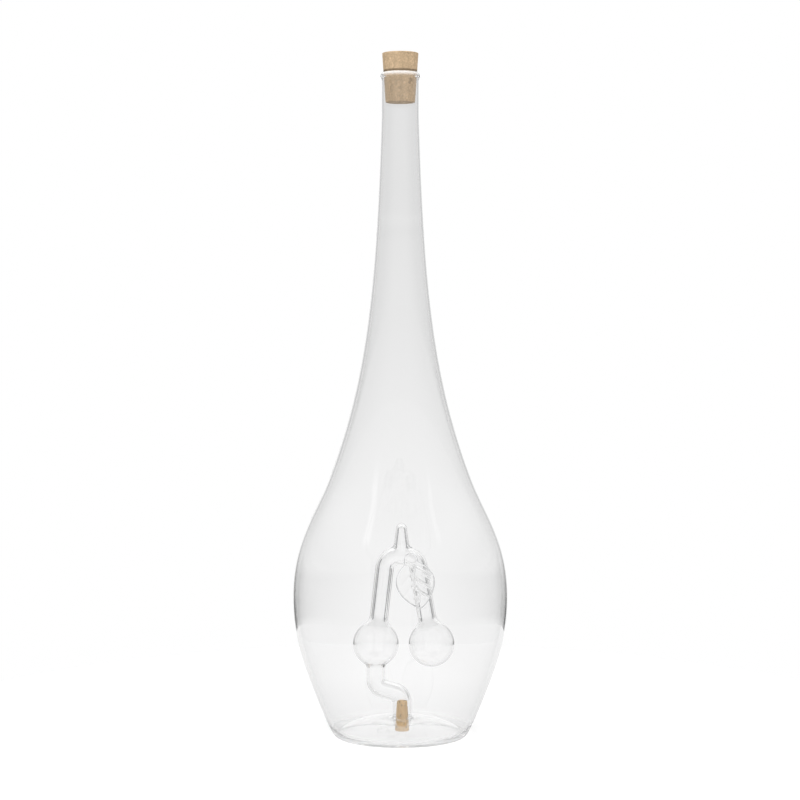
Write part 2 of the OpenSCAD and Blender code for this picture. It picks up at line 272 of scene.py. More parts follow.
def bottle_profile(size):
    """Closed run of rings (radius, height, centre) from the base hole, round the foot, up the
    outside, over the rim, down the inside and up the collar of the filling tube."""
    rim, belly = size.rim_height / MM, size.belly_radius / MM
    wall, bore = size.wall / MM, size.bore_radius / MM
    foot, neck, straight = 32.8, 9.25, rim - 21.5
    heel = np.array([37.3, 7.8])
    slope = math.radians(66.5)
    rise = np.array([math.cos(slope), math.sin(slope)])
    turn = np.array([35.6, 129.0])
    lean = np.array([-0.38, 1.0]) / math.hypot(0.38, 1.0)
    widest = np.array([belly, 70.0])
    up = np.array([0.0, 1.0])
    # Heel to widest place, to the shoulder's turn, to the straight end of the neck, and the steps
    # on each. The handles are in mm along the way that the wall has there.
    curves = [
        ([heel, heel + 37.5 * rise, widest - 14 * up, widest], 36),
        ([widest, widest + 27.5 * up, turn - 18 * lean, turn], 36),
        ([turn, turn + 53 * lean, [neck + 2.6, straight - 86], [neck, straight]], 64),
    ]
    outside, inside = [], []
    for points, steps in curves:
        place, left = bezier(points, steps)
        height = place[:, 1]
        thick = wall + (neck - bore - wall) * ease(turn[1], straight, height)
        thick = thick + SEAM_SWELL * np.exp(-(((height - SEAM_Z) / SEAM_HALF) ** 2))
        outside.append(place[1:])
        inside.append((place + left * thick[:, None])[1:])
    outside, inside = np.concatenate(outside), np.concatenate(inside)

    # Bead of the mouth: a ring of round section, with a soft hollow under it
    bead_h, bead_c = 1.7, BEAD_R - 1.7
    bead_z = rim - bead_h
    stem = [[neck, z] for z in np.linspace(straight + 3, bead_z - 2.9, 6)]
    hollow = bezier([[neck, bead_z - 2.6], [neck, bead_z - 1.7], [neck + 0.1, bead_z - 1.35],
                     [bead_c + bead_h * math.cos(math.radians(-42)),
                      bead_z + bead_h * math.sin(math.radians(-42))]], 8)[0]
    bead = arc([bead_c, bead_z], bead_h, -38, 78, 18)
    edge = bezier([bead[-1], [bead_c - 0.1, rim + 0.03], [bore + 0.25, rim - 0.9],
                   [bore, rim - 2.9]], 12)[0][1:]
    throat = [[bore, z] for z in np.linspace(rim - 3.8, straight + 1, 9)]

    # Heel, resting ring and pushed-up base, seen from below
    toe = bezier([[foot, 0], [foot + 0.9, 0], heel - 4 * rise, heel], 16)[0]
    tread = bezier([[31.0, 0.45], [31.3, 0.1], [31.7, 0.0], [32.2, 0.0]], 5)[0]
    under = bezier([[9, 7.2], [21, 7.2], [29.5, 2.2], [31.0, 0.45]], 22)[0][:-1]
    wall_end = inside[0] + (bezier(curves[0][0], 1)[0][0] - outside[0])
    place, left = bezier([[9, 7.2], [21, 7.2], [29.5, 2.2], [31.2, 0]], 24, 0, 0.9)
    top = place + left * 1.3
    gutter_way = top[-1] - top[-2]
    gutter_way /= np.linalg.norm(gutter_way)
    gutter = bezier([wall_end, wall_end - 6.3 * rise, top[-1] + 0.8 * gutter_way, top[-1]], 14)[0]

    # The rings start and end on the collar, where the filling tube opens in the base
    hole = 3.25
    rings = [[hole, z, PLUG_X] for z in (CHAMBER_SPACE[0][2], 9.4, 8.8, 8.2)]
    rings += [[r, z, PLUG_X] for r, z in arc([hole + 0.9, 8.1], 0.9, 180, 270, 7)]
    rings += [[6.0, 7.2, PLUG_X * 0.6], [7.5, 7.2, 0.3]]
    for run in (under, tread, toe, outside, stem, hollow, bead, edge, throat, inside[::-1], gutter,
                top[::-1][1:]):
        rings += [[r, z, 0.0] for r, z in run]
    rings += [[7.2, 8.5, PLUG_X * 0.6]]
    rings += [[r, z, PLUG_X] for r, z in arc([5.9, 9.7], 1.2, 270, 180, 8)]
    rings = np.array(rings)
    rings[:, 1] = np.maximum(rings[:, 1], FOOT_GAP)
    return rings


def ring_points(rings, segments):
    """Points of the rings, and the normals that the profile gives them."""
    turn = 2 * math.pi * np.arange(segments) / segments
    radius, height, centre = rings.T
    step = np.diff(rings[:, :2], axis=0)
    length = np.linalg.norm(step, axis=1, keepdims=True)
    way = step / length
    way = np.vstack([way[:1], (way[:-1] * length[1:] + way[1:] * length[:-1]), way[-1:]])
    way /= np.linalg.norm(way, axis=1, keepdims=True)
    points = revolve(radius, height, turn, centre[:, None])
    return points, revolve(way[:, 1], -way[:, 0], turn)


# ---- the cherry chamber


def melt(a, b, radius):
    """Two fields joined with a round fillet, as two pieces of hot glass flow together."""
    reach = np.hypot(np.maximum(radius - a, 0), np.maximum(radius - b, 0))
    return np.maximum(radius, np.minimum(a, b)) - reach


def to_line(x, z, a, b):
    """Distance to a straight piece of the route."""
    way = np.subtract(b, a)
    t = np.clip(((x - a[0]) * way[0] + (z - a[1]) * way[1]) / way.dot(way), 0, 1)
    return np.hypot(x - a[0] - t * way[0], z - a[1] - t * way[1])


def to_bend(x, z, centre, radius, start, end):
    """Distance to a bend of the route, from one angle in degrees to another."""
    middle, half = math.radians((start + end) / 2), math.radians(abs(end - start) / 2)
    off = np.arctan2(z - centre[1], x - centre[0]) - middle
    off = np.abs((off + math.pi) % (2 * math.pi) - math.pi)
    ends = [np.hypot(x - centre[0] - radius * math.cos(math.radians(a)),
                     z - centre[1] - radius * math.sin(math.radians(a))) for a in (start, end)]
    near = np.abs(np.hypot(x - centre[0], z - centre[1]) - radius)
    return np.where(off <= half, near, np.minimum(*ends))


class Route:
    """Centre line of the chamber in the plane of the two cherries, from the base hole up."""

    # Places and bend radii in mm, leans in degrees, and the way of the tube's slanting run
    cherry_z = 45.9
    right_x = 15.7
    left_lean, right_lean = 6.6, 9.8
    fill_bend, fill_low, run = 5.0, 16.5, 6.25
    crown_bend, crown_z = 6.5, 90.0
    tip_z = 106.5
    slope = (0.96, -0.28)

    def __init__(self):
        bend, (run_x, run_z) = self.fill_bend, self.slope
        self.fill_high = self.fill_low + 2 * bend * run_x - self.run * run_z
        self.left_x = 2 * bend * (1 + run_z) + self.run * run_x - PLUG_X
        low, high = (PLUG_X - bend, self.fill_low), (bend - self.left_x, self.fill_high)
        tilt = math.degrees(math.atan2(run_x, -run_z))
        across = np.array([-run_z, run_x]) * bend
        self.left = (-self.left_x, self.cherry_z)
        self.right = (self.right_x, self.cherry_z)
        level = self.crown_z - self.crown_bend
        elbows = []
        for side, lean, base in ((-1, self.left_lean, self.left_x),
                                 (1, self.right_lean, self.right_x)):
            a = math.radians(lean)
            rise = level + self.crown_bend * math.sin(a) - self.cherry_z
            elbows.append((side * (base - rise * math.tan(a) - self.crown_bend * math.cos(a)),
                           side * (base - rise * math.tan(a)), self.cherry_z + rise))
        (left_c, left_t, left_h), (right_c, right_t, right_h) = elbows
        self.tip_x = (left_c + right_c) / 2
        self.lines = [
            ((PLUG_X, 0), (PLUG_X, self.fill_low)),
            (low + across, high - across),
            ((-self.left_x, self.fill_high), self.left),
            (self.left, (left_t, left_h)),
            ((left_c, self.crown_z), (right_c, self.crown_z)),
            ((right_t, right_h), self.right),
        ]
        self.bends = [
            (low, bend, 0, tilt),
            (high, bend, 180, 180 + tilt),
            ((left_c, level), self.crown_bend, 90, 180 - self.left_lean),
            ((right_c, level), self.crown_bend, self.right_lean, 90),
        ]

    def distance(self, x, z):
        """Distance to the centre line in its plane."""
        near = [to_line(x, z, a, b) for a, b in self.lines]
        near += [to_bend(x, z, *bend) for bend in self.bends]
        return np.minimum.reduce(near)

    def field(self, p, tube, stalk, cherry, flare, tip_low, tip_high, tip_end, soft, pad=0.0):
        """Below zero inside the chamber's solid, for one set of radii. The pad is the drop of
        glass on the crown's front that holds the leaf."""
        x, y, z = p.T
        # The tube's radius turns into the stalks' over the cherries
        solid = np.hypot(self.distance(x, z), y) - tube - (stalk - tube) * ease(46, 60, z)
        for centre in (self.left, self.right):
            globe = np.sqrt((x - centre[0]) ** 2 + y ** 2 + (z - centre[1]) ** 2) - cherry
            solid = melt(solid, globe, flare * (0.65 + 0.35 * ease(-4, 4, z - centre[1])))
        span = tip_end - self.crown_z
        t = np.clip((z - self.crown_z) / span, 0, 1)
        tip = np.sqrt((x - self.tip_x) ** 2 + y ** 2 + (z - self.crown_z - t * span) ** 2)
        tip -= tip_low + (tip_high - tip_low) * t
        solid = melt(solid, tip, soft)
        if pad:
            side = np.hypot(x - LEAF_BASE[0] - 0.2, z - self.crown_z) - pad
            drop = np.hypot(np.maximum(side, 0), np.maximum(np.abs(y + 4.2) - 0.75, 0)) - 0.2
            solid = melt(solid, np.maximum(drop, np.minimum(side, 0) - 0.2), 0.8)
        return solid


def skin(field, low, high, step):
    """Quads on the surface where the field is zero, one point for each cell that it crosses."""
    low = np.array(low, float)
    count = np.ceil((np.array(high) - low) / step).astype(int) + 1
    axes = [low[a] + step * np.arange(count[a]) for a in range(3)]
    corners = np.stack(np.meshgrid(*axes, indexing="ij"), -1).reshape(-1, 3)
    inside = (field(corners) < 0).reshape(count)
    loops = []
    for a in range(3):
        b, c = (a + 1) % 3, (a + 2) % 3
        here = np.take(inside, range(count[a] - 1), a)
        there = np.take(inside, range(1, count[a]), a)
        at = np.argwhere(here != there)
        sides = at[:, [b, c]]
        at = at[((sides > 0) & (sides < count[[b, c]] - 1)).all(1)]
        to_b, to_c = np.eye(3, dtype=int)[b], np.eye(3, dtype=int)[c]
        loop = np.stack([at - to_b - to_c, at - to_c, at, at - to_b], 1)
        backward = ~inside[tuple(at.T)]
        loop[backward] = loop[backward][:, ::-1]
        loops.append(loop)
    cells, faces = np.unique(np.concatenate(loops).reshape(-1, 3), axis=0, return_inverse=True)
    return low + (cells + 0.5) * step, faces.reshape(-1, 4)


def slope_of(field, points, reach=0.02):
    """Gradient of the field at the points."""
    return np.stack([field(points + reach * d) - field(points - reach * d) for d in np.eye(3)],
                    1) / (2 * reach)


def settle(points, faces, field, rounds=12):
    """Spreads the points evenly and sets them onto the surface. The open end stays level."""
    floor = points[:, 2].min()
    end = points[:, 2] < floor + 1e-6
    a = faces.reshape(-1)
    b = np.roll(faces, -1, axis=1).reshape(-1)
    joined = np.bincount(a, minlength=len(points)) + np.bincount(b, minlength=len(points))
    for i in range(rounds):
        mean = np.stack([np.bincount(a, points[b, k], len(points))
                         + np.bincount(b, points[a, k], len(points)) for k in range(3)], 1)
        mean /= joined[:, None]
        # The last round only sets the points down
        spread = 0.6 if i < rounds - 1 else 0.0
        points = points + spread * (mean - points)
        for _ in range(3):
            slope = slope_of(field, points)
            points = points - field(points)[:, None] * slope / (slope ** 2).sum(1, keepdims=True)
            points[end, 2] = floor
    slope = slope_of(field, points)
    return points, slope / np.linalg.norm(slope, axis=1, keepdims=True)


def end_ring(points, centre_x):
    """The open end's points by rising angle round the filling tube, and their angles."""
    at = np.flatnonzero(points[:, 2] < points[:, 2].min() + 1e-6)
    angle = np.arctan2(points[at, 1], points[at, 0] - centre_x) % (2 * math.pi)
    order = np.argsort(angle)
    return at[order], angle[order]


# ---- the leaf

# Lean of the blade to the right in degrees, and how far its rounded top lies over the crown
LEAF_LEAN = 12.0
LEAF_TOP = 4.2
# Veins pressed into the blade: points on the way (across, down), and the share of the full depth
VEINS = (
    (((0.9, 3.0), (0.6, 5.0), (-1.1, 12.5)), 1.0),
    (((0.1, 12.8), (0.7, 15.2), (0.0, 20.0)), 0.9),
    (((0.8, 2.2), (2.4, 3.2), (8.4, 8.3)), 1.0),
    (((4.7, 6.4), (7.6, 10.0)), 0.8),
    (((-0.1, 7.8), (3.1, 11.0), (7.0, 14.8)), 1.0),
    (((0.6, 14.6), (3.1, 17.0), (4.6, 18.6)), 0.9),
    (((0.3, 4.6), (-7.0, 10.5)), 0.25),
    (((-0.9, 10.0), (-6.4, 16.0)), 0.25),
    (((0.4, 15.0), (-4.0, 19.0)), 0.2),
)


def blade_half(s, length, half_width, petiole):
    """Half width of the leaf at a distance s below the place where it leaves the crown."""
    f = np.clip(s / length, 0, 1)
    blade = half_width * np.sin(math.pi * f ** 0.82) ** 0.72
    top = np.clip(-s / LEAF_TOP, 0, 1)
    stem = petiole * (1 - 0.85 * f) * (1 - top ** 2.6) ** (1 / 2.6) * (1 - f ** 8) ** 0.5
    return (np.abs(blade) ** 4 + stem ** 4) ** 0.25


def vein_cut(x, s, half_width):
    """Depth, from 0 to 1, of the V-shaped cuts of the midrib and the side veins."""
    cut = np.zeros_like(x)
    for way, share in VEINS:
        off = np.minimum.reduce([to_line(x, s, a, b) for a, b in zip(way, way[1:])])
        cut = np.maximum(cut, share * np.clip(1 - off / half_width, 0, 1))
    return cut


def leaf_mesh(size):
    """Points and faces of the closed blade, in rings across it from its rounded top to its tip."""
    length, half_width = size.length / MM, size.width / 2 / MM
    thick, petiole = size.thickness / MM, size.petiole / 2 / MM
    stations, around = 180, 264
    t = np.linspace(0, math.pi, stations + 2)[1:-1]
    s = -LEAF_TOP + (length + LEAF_TOP) * (1 - np.cos(t)) / 2
    turn = 2 * math.pi * np.arange(around) / around
    half = blade_half(s, length, half_width, petiole)[:, None]
    v = np.cos(turn)[None, :]
    x, s = half * v, np.repeat(s[:, None], around, 1)
    round_end = np.sqrt(1 - (1 - np.clip(half / 2.2, 0, 1)) ** 2)
    from_edge = np.clip(half * (1 - np.abs(v)) / (thick / 2), 0, 1)
    body = thick / 2 * np.sqrt(1 - (1 - from_edge) ** 2) * round_end
    f = np.clip(s / length, 0, 1)
    # The blade lies before the stalks. Its sides and its tip curl forwards.
    before, curl, tip_curl, step_out = 5.2, 1.6, 1.5, 0.5
    middle = (before + thick / 2 + curl * (x / half_width) ** 2 + tip_curl * f * f
              + step_out * np.clip(5 * f, 0, 1))
    front = np.sin(turn)[None, :] > 0
    cut = np.minimum(size.vein_depth / MM * vein_cut(x, s, size.vein_width / 2 / MM), 1.6 * body)
    depth = middle + np.where(front, body, cut - body)
    lean = math.radians(LEAF_LEAN)
    points = np.stack([LEAF_BASE[0] + x * math.cos(lean) + s * math.sin(lean), -depth,
                       LEAF_BASE[1] + x * math.sin(lean) - s * math.cos(lean)], -1).reshape(-1, 3)
    ends = [points[:around].mean(0), points[-around:].mean(0)]
    return np.vstack([points, ends]), closed_strip(stations, around)


# ---- the corks


def turned_cork(node, step):
    """Points, faces and inward normals of a cork with the outline of its CAD solid."""
    low, high = (corner.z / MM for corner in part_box(node))
    axis = sum(corner.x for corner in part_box(node)) / 2 / MM
    corners = np.array([vertex.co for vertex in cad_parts[node].data.vertices]) / MM
    reach = np.hypot(corners[:, 0] - axis, corners[:, 1])
    levels = np.unique(corners[:, 2].round(3))
    outline = [reach[np.abs(corners[:, 2] - z) < 0.002].max() for z in levels]
    bottom, top = outline[0], outline[-1]
    side = np.unique(np.concatenate([np.arange(low, high, step), levels]))
    rings = [(r, low, 0.0, 1.0) for r in np.arange(step, bottom, step)]
    rings += [(np.interp(z, levels, outline), z, -1.0, 0.0) for z in side]
    rings += [(r, high, 0.0, -1.0) for r in np.arange(step, top, step)[::-1]]
    radius, height, sink, drop = np.array(rings).T
    around = int(2 * math.pi * max(outline) / step / 1.2)
    turn = 2 * math.pi * np.arange(around) / around
    points = np.vstack([revolve(radius, height, turn, axis), [[axis, 0, low], [axis, 0, high]]])
    inward = np.vstack([revolve(sink, drop, turn), [[0, 0, 1], [0, 0, -1]]])
    return points, closed_strip(len(rings), around), inward


def granules(points, size):
    """Pore and tone of pressed cork granules: seams between them, and a few that fell out."""
    seam, kept = 0.16, 0.975
    pore, grain = [], []
    for point in points:
        reach, centres = noise.voronoi(Vector(point) / size)
        chance = noise.cell(centres[0] * 7.3)
        gone = 0.7 if chance > kept else 0.0
        pore.append(max(0.5 * max(0.0, 1 - (reach[1] - reach[0]) / seam), gone))
        grain.append(noise.cell(centres[0] * 3.1 + Vector((5, 5, 5))))
    return np.array(pore), np.array(grain)


def lenticels(points, count, widest, seed):
    """Pore and tone of natural cork: channels that run through it from the bark inwards."""
    rng = np.random.default_rng(seed)
    low, high = points.min(0), points.max(0)
    pore = np.zeros(len(points))
    for _ in range(count):
        x, z = rng.uniform(low[[0, 2]], high[[0, 2]])
        wide, tall = rng.uniform(0.15, widest), rng.uniform(0.3, 2.0) * widest
        phase, start, pace = rng.uniform(0, 6.3, 3)
        off_x = points[:, 0] - x - 0.5 * np.sin(points[:, 1] / 2.5 + phase)
        off_z = points[:, 2] - z - 0.7 * np.sin(points[:, 1] / 3.5 + start)
        there = ease(-0.2, 0.4, np.sin(points[:, 1] * (0.3 + pace / 8) + start))
        channel = np.clip(1.3 - (off_x / wide) ** 2 - (off_z / tall) ** 2, 0, 1)
        pore = np.maximum(pore, there * channel)
    rings = 0.5 + 0.5 * np.sin(points[:, 1] * 2.1 + 0.6 * np.sin(points[:, 0] / 2))
    return pore, rings


# ---- materials


def add(tree, kind, inputs=None, **settings):
    """Adds a node with its settings, and links or sets its inputs."""
    made = tree.nodes.new(kind)
    for name, value in settings.items():
        setattr(made, name, value)
    for key, value in (inputs or {}).items():
        if isinstance(value, bpy.types.NodeSocket):
            tree.links.new(value, made.inputs[key])
        else:
            made.inputs[key].default_value = value
    return made


def new_material(name):
    """An empty node material and its output node."""
    material = bpy.data.materials.new(name)
    material.use_nodes = True
    material.node_tree.nodes.clear()
    return material, material.node_tree, add(material.node_tree, "ShaderNodeOutputMaterial")


def glass(name, tint, wave_mm, wave_depth_mm, roughness=0.0, clear=None, edge=None):
    """Borosilicate glass, IOR 1.47: colourless and bright, with sharp lights. Slow waves left by
    the flame bend what is seen through it. Clear is two heights in mm and the clear share at each:
    the rest is clouded, which on the foot is wear and on the bead a painted highlight. Edge is a
    painted shade: a dark tint and the slants, 0 to 1, between which it comes in. It is painted on
    steep walls of a bore or a pressed groove in place of the dark sides of the room that they
    would show."""
    material, tree, out = new_material(name)
    place = add(tree, "ShaderNodeTexCoord").outputs["Object"]
    waves = add(tree, "ShaderNodeTexNoise", {
        "Vector": place, "Scale": 1 / (wave_mm * MM), "Detail": 1.0, "Roughness": 0.4})
    bump = add(tree, "ShaderNodeBump", {
        "Height": waves.outputs["Fac"], "Strength": 1.0, "Distance": wave_depth_mm * MM})
    colour = linear(tint)
    # Painted shade: walls seen at a slant are tinted dark
    if edge:
        painted_edge_shade = add(tree, "ShaderNodeLayerWeight", {"Blend": 0.5}).outputs["Facing"]
        painted_edge_shade = add(tree, "ShaderNodeMapRange", {
            "Value": painted_edge_shade, "From Min": edge[1], "From Max": edge[2]}).outputs[0]
        colour = add(tree, "ShaderNodeMix", {
            0: painted_edge_shade, 6: colour, 7: linear(edge[0])}, data_type="RGBA").outputs[2]
    share = 1.0
    # The clouded share is the foot's wear, and on the bead a painted highlight
    if clear:
        height = add(tree, "ShaderNodeSeparateXYZ", {0: place}).outputs[2]
        share = add(tree, "ShaderNodeMapRange", {
            "Value": height, "From Min": clear[0] * MM, "From Max": clear[1] * MM,
            "To Min": clear[2], "To Max": clear[3]}, interpolation_type="SMOOTHSTEP").outputs[0]
        colour = add(tree, "ShaderNodeMix", {
            0: share, 6: colour, 7: WHITE}, data_type="RGBA").outputs[2]
    body = add(tree, "ShaderNodeBsdfPrincipled", {
        "Base Color": colour, "Roughness": roughness, "IOR": 1.47,
        "Transmission Weight": share, "Normal": bump.outputs["Normal"]})
    # Lamps reach what stands behind or inside the glass
    passing = add(tree, "ShaderNodeBsdfTransparent", {"Color": linear("#F8F8F8")})
    light = add(tree, "ShaderNodeLightPath")
    mixed = add(tree, "ShaderNodeMixShader", {
        0: light.outputs["Is Shadow Ray"], 1: body.outputs[0], 2: passing.outputs[0]})
    tree.links.new(mixed.outputs[0], out.inputs["Surface"])
    return material


def cork(name, colour, streak_mm, rim=None):
    """Cork, turned and sanded: matt and warm, with slow bands, fine cells and dark pores. Given a
    rim, the part below it is a little darker, painted shade of the neck around it, with a painted
    shadow line just above the rim."""
    material, tree, out = new_material(name)
    place = add(tree, "ShaderNodeTexCoord").outputs["Object"]
    upright = add(tree, "ShaderNodeMapping", {"Vector": place, "Scale": (1, 1, 0.14)})
    bands = add(tree, "ShaderNodeTexNoise", {
        "Vector": upright.outputs[0], "Scale": 1 / (streak_mm * MM), "Detail": 3.0,
        "Roughness": 0.6})
    # Cork cells are 0.04 mm wide; they are drawn ten times as coarse, so that they show
    cells = add(tree, "ShaderNodeTexNoise", {
        "Vector": place, "Scale": 1 / (0.4 * MM), "Detail": 4.0, "Roughness": 0.6})
    grain = add(tree, "ShaderNodeAttribute", attribute_name="grain").outputs["Fac"]
    pore = add(tree, "ShaderNodeAttribute", attribute_name="pore").outputs["Fac"]
    # What tones the colour: a value, two values of it, and the share of the colour left at each
    tones = [(bands.outputs["Fac"], 0.32, 0.68, 0.92, 1.08, "LINEAR"),
             (cells.outputs["Fac"], 0.3, 0.7, 0.93, 1.06, "LINEAR"),
             (grain, 0, 1, 0.94, 1.06, "LINEAR"), (pore, 0, 1, 1, 0.5, "LINEAR")]
    if rim is not None:
        # Painted shade: darker below the rim, and a painted shadow line where cork meets lip
        height = add(tree, "ShaderNodeSeparateXYZ", {0: place}).outputs[2]
        off = add(tree, "ShaderNodeMath", {
            0: height, 1: (rim + 0.5) * MM}, operation="SUBTRACT").outputs[0]
        off = add(tree, "ShaderNodeMath", {0: off}, operation="ABSOLUTE").outputs[0]
        tones += [(height, (rim - 1) * MM, rim * MM, 0.88, 1, "LINEAR"),
                  (off, 0.2 * MM, 0.9 * MM, 0.4, 1, "SMOOTHSTEP")]
    shade = 1.0
    for value, low, high, start, end, way in tones:
        part = add(tree, "ShaderNodeMapRange", {
            "Value": value, "From Min": low, "From Max": high, "To Min": start, "To Max": end},
            interpolation_type=way).outputs[0]
        shade = add(tree, "ShaderNodeMath", {0: shade, 1: part}, operation="MULTIPLY").outputs[0]
    tinted = add(tree, "ShaderNodeMix", {0: 1.0, 6: (*colour, 1), 7: shade}, data_type="RGBA",
                 blend_type="MULTIPLY")
    bump = add(tree, "ShaderNodeBump", {
        "Height": cells.outputs["Fac"], "Strength": 0.6, "Distance": 0.08 * MM})
    body = add(tree, "ShaderNodeBsdfPrincipled", {
        "Base Color": tinted.outputs[2], "Roughness": 0.85, "Specular IOR Level": 0.3,
        "Normal": bump.outputs["Normal"]})
    tree.links.new(body.outputs[0], out.inputs["Surface"])
    return material


# ---- operators

# Places of the vessel's materials on its mesh
BLOWN, DRAWN, BORE_PAINTED_SHADE, BEAD_PAINTED_HIGHLIGHT, TREAD_WEAR_AND_SHADE = range(5)
# Parts of the vessel in mm: the bead's depth, the foot's height and inner radius, and the height
# from which the stalks' bores are straight and get their painted shade lines
BEAD_DEPTH, FOOT_TOP, FOOT_INNER, STALKS_FROM = 3.6, 9, 29, 57


class FLASK_OT_vessel(bpy.types.Operator):
    """Blow the bottle and melt the cherry chamber into its base, as one glass"""

    bl_idname = "flask.vessel"
    bl_label = "Glass vessel"

    def execute(self, context):
        bottle, cherries = context.scene.flask_bottle, context.scene.flask_cherries
        rings = bottle_profile(bottle)
        segments = bottle.segments
        points, normals = ring_points(rings, segments)
        faces = [tuple(f) for f in strip(len(rings), segments)]
        blown = len(faces)

        route = Route()
        tube, bore, stalk = (r / MM for r in (cherries.tube_radius, cherries.tube_bore,
                                              cherries.stalk_bore))
        globe, wall = cherries.cherry_radius / MM, cherries.cherry_wall / MM
        outer = {"tube": tube, "stalk": tube, "cherry": globe, "flare": 2.4, "tip_low": 4.6,
                 "tip_high": 2.6, "tip_end": route.tip_z - 2.6, "soft": 1.6, "pad": 2.4}
        inner = {"tube": bore, "stalk": stalk, "cherry": globe - wall, "flare": 3.1,
                 "tip_low": 3.4, "tip_high": 1.55, "tip_end": route.tip_z - 2.9, "soft": 1.2}
        turn = 2 * math.pi * np.arange(segments) / segments
        for radii, side, lathe_end in ((outer, 1, len(rings) - 1), (inner, -1, 0)):
            field = partial(route.field, **radii)
            at, quads = skin(field, *CHAMBER_SPACE, cherries.grain / MM)
            at, out = settle(at, quads, field)
            ring, angle = end_ring(at, PLUG_X)
            base = len(points)
            points = np.concatenate([points, at])
            normals = np.concatenate([normals, side * out])
            faces += [tuple(f) for f in (quads if side > 0 else quads[:, ::-1]) + base]
            if side < 0:
                bore_faces = range(len(faces) - len(quads), len(faces))
            edge = lathe_end * segments + np.arange(segments)
            bridge = zip_rings(list(edge), list(ring + base), turn, angle)
            faces += bridge if side > 0 else [f[::-1] for f in bridge]

        # The bottle's faces take their glass from the ring that they start from. The first half
        # of the rings is the outer side.
        rim = bottle.rim_height / MM
        reach, height = rings[:-1, 0], rings[:-1, 1]
        bead = height > rim - BEAD_DEPTH
        tread = (height < FOOT_TOP) & (reach > FOOT_INNER)
        tread[len(rings) // 2:] = False
        which = np.repeat(np.where(bead, BEAD_PAINTED_HIGHLIGHT, np.where(tread, TREAD_WEAR_AND_SHADE, BLOWN)), segments).tolist()
        which += [DRAWN] * (len(faces) - blown)
        # Steep bore faces above the stalks' start take the glass with painted shade lines
        for i in bore_faces:
            corners = list(faces[i])
            steep = abs(normals[corners, 2].mean()) < 0.5
            if steep and points[corners, 2].mean() > STALKS_FROM:
                which[i] = BORE_PAINTED_SHADE

        piece = new_piece("glass_vessel", points, faces, [
            # Blown in a mould: long waves make what stands behind it swim a little
            glass("blown_borosilicate", "#FEFEFE", 11, 0.004),
            # Drawn tube, bent and blown in the flame: closer, flatter waves
            glass("drawn_borosilicate_tube", "#FEFEFE", 6, 0.003),
            # Its straight bore: painted shade, a thin grey line down each side of a stalk
            glass("drawn_tube_bore_painted_shade", "#FEFEFE", 6, 0.003, edge=("#34373A", 0.35, 0.58)),
            # Melted round in the flame: faintly milky towards the top, a painted highlight for
            # broad soft lights
            glass("fire_polished_bead_painted_highlight", "#FFFDFB", 3, 0.002, 0.05,
                  (rim - 2.3, rim - 0.5, 1, 0.52)),
            # Rubbed by tables: milky at the very foot, clear again just above it; its grey tint is
            # painted shade
            glass("worn_resting_ring_painted_shade", "#E2E2E2", 3, 0.002, 0.0, (0.2, 6.5, 0.5, 1))], which)
        piece.data.normals_split_custom_set_from_vertices(normals.tolist())
        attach(piece, "vessel")
        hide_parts("belly_shell", "neck_tube", "mouth_lip", "base_punt", "filling_tube",
                    "left_cherry", "left_stalk", "stalk_crown", "right_stalk", "right_cherry")
        return {"FINISHED"}


class FLASK_OT_leaf(bpy.types.Operator):
    """Press the glass leaf that sits on the crown"""

    bl_idname = "flask.leaf"
    bl_label = "Glass leaf"

    def execute(self, context):
        points, faces = leaf_mesh(context.scene.flask_leaf)
        # Pressed while soft: the sharp sides of the veins, and the margin, are light grey lines of
        # painted shade
        pressed = glass("pressed_borosilicate_painted_shade", "#FEFEFE", 4, 0.002, edge=("#C0C4C6", 0.18, 0.45))
        piece = new_piece("glass_leaf", points, faces, [pressed])
        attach(piece, "vessel")
        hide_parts("leaf")
        return {"FINISHED"}


class FLASK_OT_corks(bpy.types.Operator):
    """Turn the two corks and pit their surfaces"""

    bl_idname = "flask.corks"
    bl_label = "Corks"

    def execute(self, context):
        look = context.scene.flask_corks
        rim = context.scene.flask_bottle.rim_height / MM
        # Granules glued, pressed and sanded: even and pale, with fine seams and a few lost grains
        # Its part below the rim carries painted shade and a painted shadow line
        pressed = cork("agglomerated_cork_sanded_painted_rim_shade", look.tan, 2.2, rim)
        # Turned from the bark in one piece: warmer, with dark channels and growth bands
        natural = cork("natural_cork_turned", look.amber, 1.1)
        for name, node, body, slot, material in (
                ("large_cork", "top_cork", "mouth_stopper", "large_cork", pressed),
                ("small_cork", "base_cork", "base_stopper", "small_cork", natural)):
            points, faces, inward = turned_cork(node, look.grain / MM)
            if node == "top_cork":
                pore, grain = granules(points, look.granule / MM)
            else:
                pore, grain = lenticels(points, count=34, widest=0.45, seed=7)
            points = points + inward * (look.pit_depth / MM * pore)[:, None]
            piece = new_piece(name, points, faces, [material])
            for label, values in (("pore", pore), ("grain", grain)):
                attribute = piece.data.attributes.new(label, "FLOAT", "POINT")
                attribute.data.foreach_set("value", values)
            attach(piece, body)
            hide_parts(node)
        return {"FINISHED"}


class FLASK_OT_studio(bpy.types.Operator):
    """Set up the table, the surroundings, the lamps and the camera"""

    bl_idname = "flask.studio"
    bl_label = "Studio"

    def execute(self, context):
        studio = context.scene.flask_studio
        build_table(studio)
        build_world(context.scene, studio)
        build_lamps()
        build_camera(context.scene)
        context.scene.view_settings.view_transform = "Standard"
        # Light crosses up to fourteen glass faces here, and is mirrored inside them
        context.scene.cycles.max_bounces = 40
        context.scene.cycles.transmission_bounces = 40
        context.scene.cycles.glossy_bounces = 24
        return {"FINISHED"}


# ---- studio

# The table's own light, 1 being white: lift under the camera's own rays, then, in rays that glass
# mirrors and in rays that only pass it, distances from the axis in metres and levels there
TABLE_LIFT = 0.25
